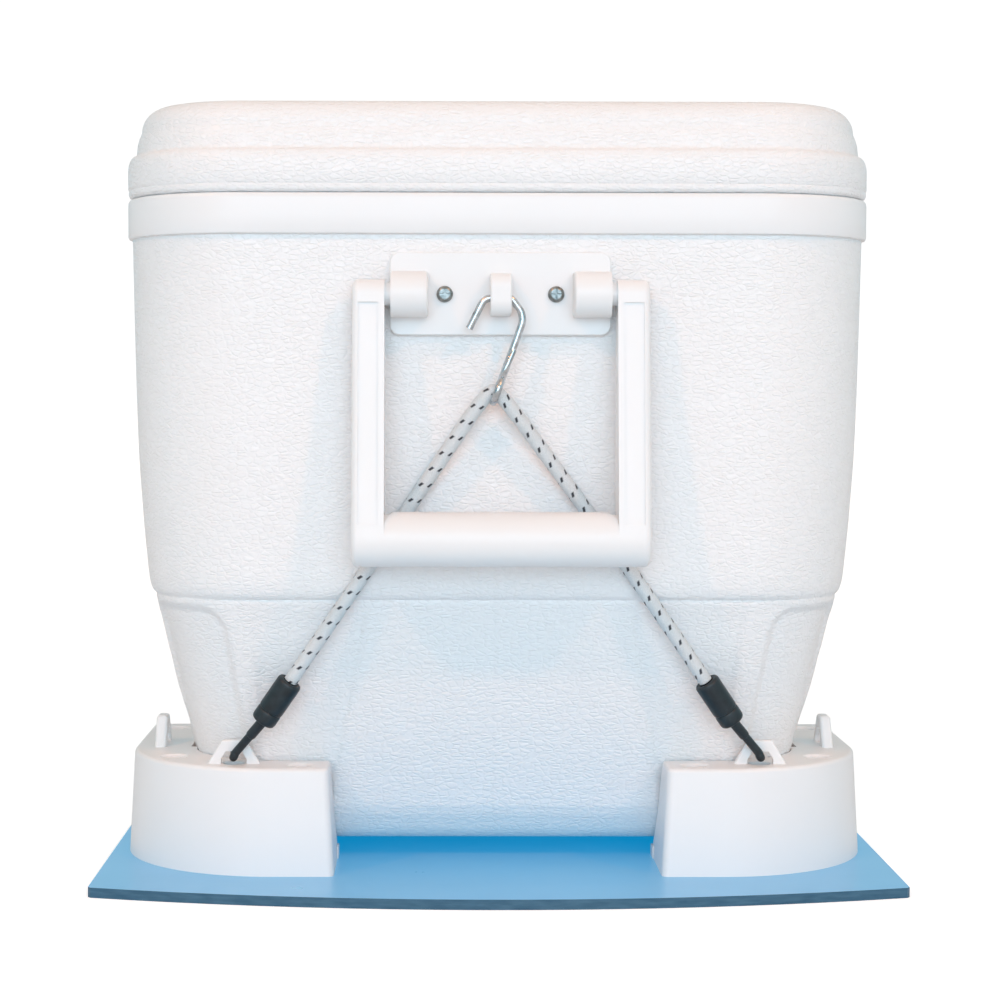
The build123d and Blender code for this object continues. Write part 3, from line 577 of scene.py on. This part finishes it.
def combine(mesh, steps):
    """The mesh after each (operation, solid) in turn."""
    base = bpy.data.objects.new("base", mesh)
    bpy.context.scene.collection.objects.link(base)
    for operation, solid in steps:
        bpy.context.scene.collection.objects.link(solid)
        cut = base.modifiers.new(solid.name, "BOOLEAN")
        cut.operation = operation
        cut.solver = "EXACT"
        cut.object = solid
    result = bpy.data.meshes.new_from_object(base.evaluated_get(bpy.context.evaluated_depsgraph_get()))
    for used in [base] + [solid for _, solid in steps]:
        used_mesh = used.data
        bpy.data.objects.remove(used)
        bpy.data.meshes.remove(used_mesh)
    return result


def rear_wall(height):
    """The middle of the rear wall's thickness, along Y."""
    return tub_size(height)[1] - WALL / 2


tub_mesh = combine(build_tub(), [("UNION", drum("cup", DRAIN_POCKET + WALL, DRAIN_SEAT - WALL, rear_wall)),
                                 ("DIFFERENCE", drum("pocket", DRAIN_POCKET, DRAIN_SEAT, DRILL_TO)),
                                 ("DIFFERENCE", drum("spout", SPOUT_R, DRILL_FROM, DRILL_TO))])
tub = new_object("tub_shell", tub_mesh, "chest", MATERIALS["grained_plastic"], 40)
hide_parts("outer_shell")

SKID_X, SKID_WIDTH, SKID_HALF_LENGTH = 104.0, 22.0, 190.0
SKID_CORNER = 7.0
SKID_EDGE = [(3.0, 0.0), (1.6, 0.3), (0.5, 1.2), (0.0, 2.6), (0.0, TUB_BOTTOM + 1.5)]   # (inset, height)


def build_skids():
    """Two runners moulded under the tub, rounded along their lower edges."""
    points, faces = [], []
    for side in (-1, 1):
        rings = []
        for inset, height in SKID_EDGE:
            outline = plan_loop(SKID_WIDTH / 2 - inset, SKID_HALF_LENGTH - inset, SKID_CORNER - inset,
                                3, 24, 6)
            rings.append([(side * SKID_X + x, y, DECK + height) for x, y, _, _ in outline])
        more, joined = skin(rings)
        faces += [tuple(index + len(points) for index in face) for face in joined]
        points += more
    return mesh_from("tub_skids", points, faces)


skids = new_object("tub_skids", build_skids(), "chest", MATERIALS["grained_plastic"])
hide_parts("outer_shell")


# ---------------------------------------------------------------- collar
COLLAR_INSIDE = (158.2, 295.2, 46.0)    # half width, half length and corner radius


def build_collar():
    """The smooth band round the rim, eased along its outer edges."""
    profile = [(1.6, COLLAR_BASE), (0.5, COLLAR_BASE + 0.35), (0.0, COLLAR_BASE + 1.3),
               (0.0, COLLAR_BASE + 9), (0.0, COLLAR_TOP - 2.6), (0.25, COLLAR_TOP - 1.3),
               (0.9, COLLAR_TOP - 0.4), (2.2, COLLAR_TOP)]
    rings = [(*COLLAR_INSIDE, COLLAR_BASE)] + rim_rings(profile) + [(*COLLAR_INSIDE, COLLAR_TOP)]
    points, faces = ring_stack(rings, closed=True)
    return mesh_from("collar", points, faces)


collar = new_object("collar", build_collar(), "chest", MATERIALS["smooth_plastic"], 40)
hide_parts("rim_collar")


# ---------------------------------------------------------------- lid
def build_lid():
    """The lid's band, bevelled lip and dome as one closed skin, hollow below."""
    outside = [(2.6, LID_BASE - 0.6), (1.9, LID_BASE - 0.1), (0.8, LID_BASE + 0.5),
               (0.35, LID_BASE + 1.6), (0.3, LID_BASE + 3.0), (0.62, LID_BASE + 3.5), (0.3, LID_BASE + 4.0),
               (0.0, LID_BASE + 4.6), (0.0, LID_BASE + 10), (0.0, BAND_TOP - 6.0), (0.3, BAND_TOP - 4.2),
               (0.8, BAND_TOP - 2.4),
               (1.5, BAND_TOP - 1.0), (2.3, BAND_TOP - 0.2), (3.4, BAND_TOP + 0.1), (4.1, BAND_TOP + 0.6),
               (4.4, BAND_TOP + 1.6), (4.6, BAND_TOP + 3.2), (4.9, BAND_TOP + 6.3), (5.8, BAND_TOP + 9.4)]
    outside += arc_profile(7.0, LID_TOP - 12.5, 12.5, 12)
    outside += [(30, LID_TOP), (60, LID_TOP), (110, LID_TOP), (160, LID_TOP)]
    inside = [(160, LID_TOP - WALL), (26, LID_TOP - WALL), (14, LID_TOP - 8), (10, LID_TOP - 16),
              (8.2, BAND_TOP - WALL), (WALL, BAND_TOP - WALL), (WALL + 0.4, LID_BASE - 0.6)]
    points, faces = ring_stack(rim_rings(inside + outside))
    return mesh_from("lid_cover", points, faces)


lid = new_object("lid_cover", build_lid(), "lid", MATERIALS["grained_plastic"], 40)
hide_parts("lid_shell")

# ---------------------------------------------------------------- shock cords
CORD_DIAMETER = 7.0
CORD_TOP = (-3.6, -333.0, 241.0)
STEP_BEND = (69.2, -316.6, 146.7)
CORD_END = (103.0, -306.6, 97.3)
TIGHT_HALF = 2.85           # half the distance between the two turns over the hook's eye
FLECK_PITCH = 9.2           # the dark dashes lie on a helix that climbs this much a turn
FLECKS_PER_TURN = 5
STRAIGHT_FROM_EYE = 42.0    # where a leg's straight stretch starts, six diameters from the eye
STRAND_PITCH = 0.026        # metres along the cord for one turn of a strand
CARRIERS = 12               # strands each way round
AROUND = 60                 # points round the cord
RING_STEP = 0.00035         # metres from one ring of points to the next


def between_points(start, stop, distance):
    """The point a distance from start towards stop."""
    run = Vector(stop) - Vector(start)
    return tuple(Vector(start) + run.normalized() * distance)


def cord_route(turn):
    """The cord's points from one sleeve to the other; turn is -1 at the rear end."""
    x, y, height = CORD_TOP
    left_turn, right_turn = (x - TIGHT_HALF, y, height), (x + TIGHT_HALF, y, height)
    left_bend, left_end = (-STEP_BEND[0],) + STEP_BEND[1:], (-CORD_END[0],) + CORD_END[1:]
    route = [left_end, left_bend, between_points(left_turn, left_bend, STRAIGHT_FROM_EYE), left_turn,
             right_turn, between_points(right_turn, STEP_BEND, STRAIGHT_FROM_EYE), STEP_BEND, CORD_END]
    return [Vector((turn * px, turn * py, DECK + pz)) * MM for px, py, pz in route]


def spline_points(name, route):
    """The points of one smooth NURBS line through the route."""
    curve = bpy.data.curves.new(name, "CURVE")
    curve.dimensions = "3D"
    curve.resolution_u = 48
    spline = curve.splines.new("NURBS")
    spline.points.add(len(route) - 1)
    for control, spot in zip(spline.points, route):
        control.co = (*spot, 1)
    spline.order_u = 3
    spline.use_endpoint_u = True
    holder = bpy.data.objects.new(name, curve)
    mesh = bpy.data.meshes.new_from_object(holder)
    points = [v.co.copy() for v in mesh.vertices]
    bpy.data.objects.remove(holder)
    bpy.data.meshes.remove(mesh)
    bpy.data.curves.remove(curve)
    return points


def even_steps(points, step):
    """Points at even distances along a line, with the distance travelled at each."""
    spots, travelled = [points[0].copy()], [0.0]
    left = step
    total = 0.0
    for start, stop in zip(points, points[1:]):
        run = (stop - start).length
        if run == 0:
            continue
        at = left
        while at <= run:
            spots.append(start.lerp(stop, at / run))
            travelled.append(total + at)
            at += step
        left = at - run
        total += run
    return spots, travelled


def fleck(along, angle):
    """How dark the sheath is at a point: short slanted dashes along a helix, in line from turn to turn."""
    step = 2 * math.pi / FLECKS_PER_TURN
    angle += 0.004 * along
    nearest = step * round(angle / step)
    aside = (angle - nearest) * CORD_DIAMETER / 2
    ahead = along - FLECK_PITCH * nearest / (2 * math.pi)
    ahead -= FLECK_PITCH * round(ahead / FLECK_PITCH)
    return ((1 - smooth_step(1.0, 1.35, abs(ahead)))
            * (1 - smooth_step(0.55, 0.9, abs(aside - 0.45 * ahead))))


def build_cord(name, turn):
    """A braided sheath: two crossing sets of strands raised on a tube along the spline."""
    path = spline_points(name + "_line", cord_route(turn))
    spots, travelled = even_steps(path, RING_STEP)
    radius = CORD_DIAMETER / 2 * MM
    up = Vector((0, -turn, 0))
    points, tracer = [], []
    for i, (spot, distance) in enumerate(zip(spots, travelled)):
        ahead = spots[min(i + 1, len(spots) - 1)] - spots[max(i - 1, 0)]
        ahead.normalize()
        side = ahead.cross(up).normalized()
        out = side.cross(ahead).normalized()
        for k in range(AROUND):
            angle = 2 * math.pi * k / AROUND
            first = (angle + 2 * math.pi * distance / STRAND_PITCH) * CARRIERS / (2 * math.pi)
            second = (angle - 2 * math.pi * distance / STRAND_PITCH) * CARRIERS / (2 * math.pi)
            column = math.floor(first) + math.floor(second)
            rib_a = math.sin(math.pi * (first % 1.0))
            rib_b = math.sin(math.pi * (second % 1.0))
            top = rib_b if column % 2 else rib_a
            lift = radius * (0.94 + 0.06 * top ** 0.6)
            points.append(spot + lift * (math.cos(angle) * out + math.sin(angle) * side))
            tracer.append(fleck(distance / MM, angle))
    count = len(spots)
    faces = []
    for r in range(count - 1):
        for k in range(AROUND):
            j = (k + 1) % AROUND
            faces.append((r * AROUND + k, r * AROUND + j, (r + 1) * AROUND + j, (r + 1) * AROUND + k))
    faces.append(tuple(reversed(range(AROUND))))
    faces.append(tuple(range((count - 1) * AROUND, count * AROUND)))
    mesh = bpy.data.meshes.new(name)
    mesh.from_pydata([tuple(p) for p in points], [], faces)
    mesh.update()
    layer = mesh.attributes.new("tracer", "FLOAT", "POINT")
    layer.data.foreach_set("value", tracer)
    piece = new_object(name, mesh, "chest", MATERIALS["braided_cord"], None)
    return piece


for end, turn in (("front", 1), ("rear", -1)):
    braid = build_cord("braided_cord_" + end, turn)
    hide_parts("shock_cord_" + end)


# ---------------------------------------------------------------- sleeves and hooks on the cords
SLEEVE_LENGTH = 25.6
SHANK_STOP = (131.4, -293.7, 59.6)      # where the hook's shank turns under the chock's eye
# Turned outlines of a sleeve and of the shank below it, as (distance along it, radius)
SLEEVE = [(3.0, 0.0), (3.0, 3.4), (0.9, 3.45), (0.2, 3.9), (0.0, 4.6), (0.0, 5.3), (0.3, 5.9), (1.0, 6.3),
          (1.9, 6.4), (17.3, 6.4), (17.9, 6.25), (18.2, 5.9), (18.6, 5.9), (18.9, 6.2), (19.5, 6.35),
          (23.6, 6.35), (24.8, 6.1), (25.4, 5.5), (25.6, 4.6), (25.6, 2.9), (25.6, 0.0)]
SHANK = [(-1.0, 0.0), (-1.0, 2.9), (0.6, 2.75), (2.0, 2.6), (10.0, 2.6), (10.6, 2.45), (10.9, 2.1),
         (10.9, 0.0)]


def lathe(name, start, heading, profile, steps=40):
    """A turned solid; the profile is (distance along the heading, radius)."""
    heading = Vector(heading).normalized()
    side = heading.orthogonal().normalized()
    across = heading.cross(side)
    rings, tips = [], []
    for along, radius in profile:
        middle = Vector(start) + along * heading
        if radius == 0:
            tips.append(middle)
            continue
        rings.append([middle + radius * (math.cos(2 * math.pi * i / steps) * side
                                         + math.sin(2 * math.pi * i / steps) * across)
                      for i in range(steps)])
    points, faces = skin(rings, cap_first=False, cap_last=False)
    for tip, first in ((tips[0], 0), (tips[1], (len(rings) - 1) * steps)):
        centre = len(points)
        points.append(tip)
        for i in range(steps):
            pair = (first + i, first + (i + 1) % steps)
            faces.append((centre, pair[1], pair[0]) if first == 0 else (centre, *pair))
    return mesh_from(name, points, faces)


def placed(spot, side, turn):
    """A point given for the front end's right, at either side and either end."""
    return Vector((turn * side * spot[0], turn * spot[1], DECK + spot[2]))


for end, turn in (("front", 1), ("rear", -1)):
    for side in (-1, 1):
        tag = end + ("_left" if side * turn < 0 else "_right")
        bend, mouth = placed(STEP_BEND, side, turn), placed(CORD_END, side, turn)
        foot = mouth + (mouth - bend).normalized() * SLEEVE_LENGTH
        sleeve = new_object("cord_sleeve_" + tag, lathe("cord_sleeve_" + tag, mouth, mouth - bend, SLEEVE),
                            "chest", MATERIALS["black_fitting"])
        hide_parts("cord_ferrule_" + tag)
        new_object("hook_shank_" + tag,
                   lathe("hook_shank_" + tag, foot, placed(SHANK_STOP, side, turn) - foot, SHANK),
                   "chest", MATERIALS["black_fitting"])


TAIL_WIRE = 1.45            # radius of the wire's end
TAIL_ROUTE = [(0.4, -334.6, 246.0), (1.2, -336.2, 249.5), (2.8, -336.4, 253.0), (4.4, -335.9, 256.5),
              (6.2, -335.0, 260.6)]


def hook_tail(name, turn):
    """The end of the S-hook's eye, lying along its stem."""
    curve = bpy.data.curves.new(name, "CURVE")
    curve.dimensions = "3D"
    curve.bevel_depth = TAIL_WIRE * MM
    curve.bevel_resolution = 6
    curve.use_fill_caps = True
    spline = curve.splines.new("NURBS")
    spline.points.add(len(TAIL_ROUTE) - 1)
    for control, (x, y, height) in zip(spline.points, TAIL_ROUTE):
        control.co = (turn * x * MM, turn * y * MM, (DECK + height) * MM, 1)
    spline.order_u = 3
    spline.use_endpoint_u = True
    curve.materials.append(MATERIALS["bright_steel"])
    piece = bpy.data.objects.new(name, curve)
    bpy.context.scene.collection.objects.link(piece)
    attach(piece, "chest")


hook_tail("hook_tail_front", 1)
hook_tail("hook_tail_rear", -1)


# ---------------------------------------------------------------- stage, light and camera
def soft_sun(name, azimuth, elevation, strength, colour, spread_deg):
    """A soft, even light from the front; azimuth turns it towards +X."""
    lamp = bpy.data.lights.new(name, "SUN")
    lamp.energy = strength
    lamp.angle = math.radians(spread_deg)
    lamp.color = colour
    holder = bpy.data.objects.new(name, lamp)
    bpy.context.scene.collection.objects.link(holder)
    a, e = math.radians(azimuth), math.radians(elevation)
    out = Vector((math.sin(a) * math.cos(e), -math.cos(a) * math.cos(e), math.sin(e)))
    holder.rotation_mode = "QUATERNION"
    holder.rotation_quaternion = out.to_track_quat("Z", "Y")


FLOOR_REACH = 60.0          # metres
FLOOR_GLOW = 0.5            # seen by the camera only, so that the floor meets the white backdrop
BACKDROP = 1.05             # strength of the white behind the floor
# The sky's colour from the horizon to the zenith
SKY = [(0.0, (0.36, 0.64, 0.73)), (0.4, (0.52, 0.66, 0.70)), (1.0, (0.7, 0.56, 0.46))]


def build_stage():
    """A wide pale floor under a plain sky, cool at the horizon and warm above."""
    mesh = bpy.data.meshes.new("floor")
    corners = [(-1, -1), (1, -1), (1, 1), (-1, 1)]
    mesh.from_pydata([(x * FLOOR_REACH, y * FLOOR_REACH, 0) for x, y in corners], [], [(0, 1, 2, 3)])
    floor = bpy.data.objects.new("floor", mesh)
    bpy.context.scene.collection.objects.link(floor)
    material, tree, shader = start_material("pale floor", roughness=0.9)
    shader.inputs["Base Color"].default_value = (0.80, 0.88, 0.95, 1)
    shader.inputs["Emission Color"].default_value = (1.0, 0.94, 0.9, 1)
    seen = node(tree, "ShaderNodeLightPath")
    glow = maths(tree, "MULTIPLY", seen.outputs["Is Camera Ray"], FLOOR_GLOW)
    link(tree, glow, shader.inputs["Emission Strength"])
    mesh.materials.append(material)
    world = bpy.data.worlds.new("studio")
    bpy.context.scene.world = world
    world.use_nodes = True
    tree = world.node_tree
    fill = tree.nodes["Background"]
    fill.inputs["Strength"].default_value = 1.0
    direction = node(tree, "ShaderNodeTexCoord")
    split = node(tree, "ShaderNodeSeparateXYZ")
    link(tree, direction.outputs["Generated"], split.inputs["Vector"])
    link(tree, ramp(tree, split.outputs["Z"], SKY), fill.inputs["Color"])
    backdrop = node(tree, "ShaderNodeBackground")
    backdrop.inputs["Color"].default_value = (1, 1, 1, 1)
    backdrop.inputs["Strength"].default_value = BACKDROP
    ray = node(tree, "ShaderNodeLightPath")
    mix = node(tree, "ShaderNodeMixShader")
    link(tree, ray.outputs["Is Camera Ray"], mix.inputs[0])
    link(tree, fill.outputs[0], mix.inputs[1])
    link(tree, backdrop.outputs[0], mix.inputs[2])
    link(tree, mix.outputs[0], tree.nodes["World Output"].inputs["Surface"])


CAMERA_SPOT = (-0.0322, -1.4416, 0.2443)        # metres
CAMERA_TURN = (-0.407, -2.627, 0.102)           # yaw, pitch and roll in degrees
CAMERA_LENS = 82.8
CAMERA_SHIFT = 0.05


def build_camera():
    """A nearly level view of the front end from a little above mid height, shifted to frame the chest."""
    data = bpy.data.cameras.new("camera")
    camera = bpy.data.objects.new("camera", data)
    bpy.context.scene.collection.objects.link(camera)
    data.sensor_width = 36.0
    data.lens = CAMERA_LENS
    data.shift_x = CAMERA_SHIFT
    data.clip_start, data.clip_end = 0.05, 100.0
    yaw, pitch, roll = (math.radians(degrees) for degrees in CAMERA_TURN)
    right = Vector((math.cos(yaw), math.sin(yaw), 0))
    level = Vector((-math.sin(yaw), math.cos(yaw), 0))
    ahead = math.cos(pitch) * level + math.sin(pitch) * Vector((0, 0, 1))
    up = math.cos(pitch) * Vector((0, 0, 1)) - math.sin(pitch) * level
    turned_right = math.cos(roll) * right + math.sin(roll) * up
    turned_up = math.cos(roll) * up - math.sin(roll) * right
    rotation = Matrix((turned_right, turned_up, -ahead)).transposed().to_4x4()
    camera.matrix_world = Matrix.Translation(CAMERA_SPOT) @ rotation
    bpy.context.scene.camera = camera


build_stage()
soft_sun("key left", -42, 40, 0.56, (1.0, 0.36, 0.1), 3)
soft_sun("key right", 42, 40, 0.56, (1.0, 0.36, 0.1), 3)
soft_sun("front fill", 0, 4, 2.1, (0.68, 0.85, 1.0), 50)
build_camera()
bpy.context.scene.view_settings.view_transform = "Standard"
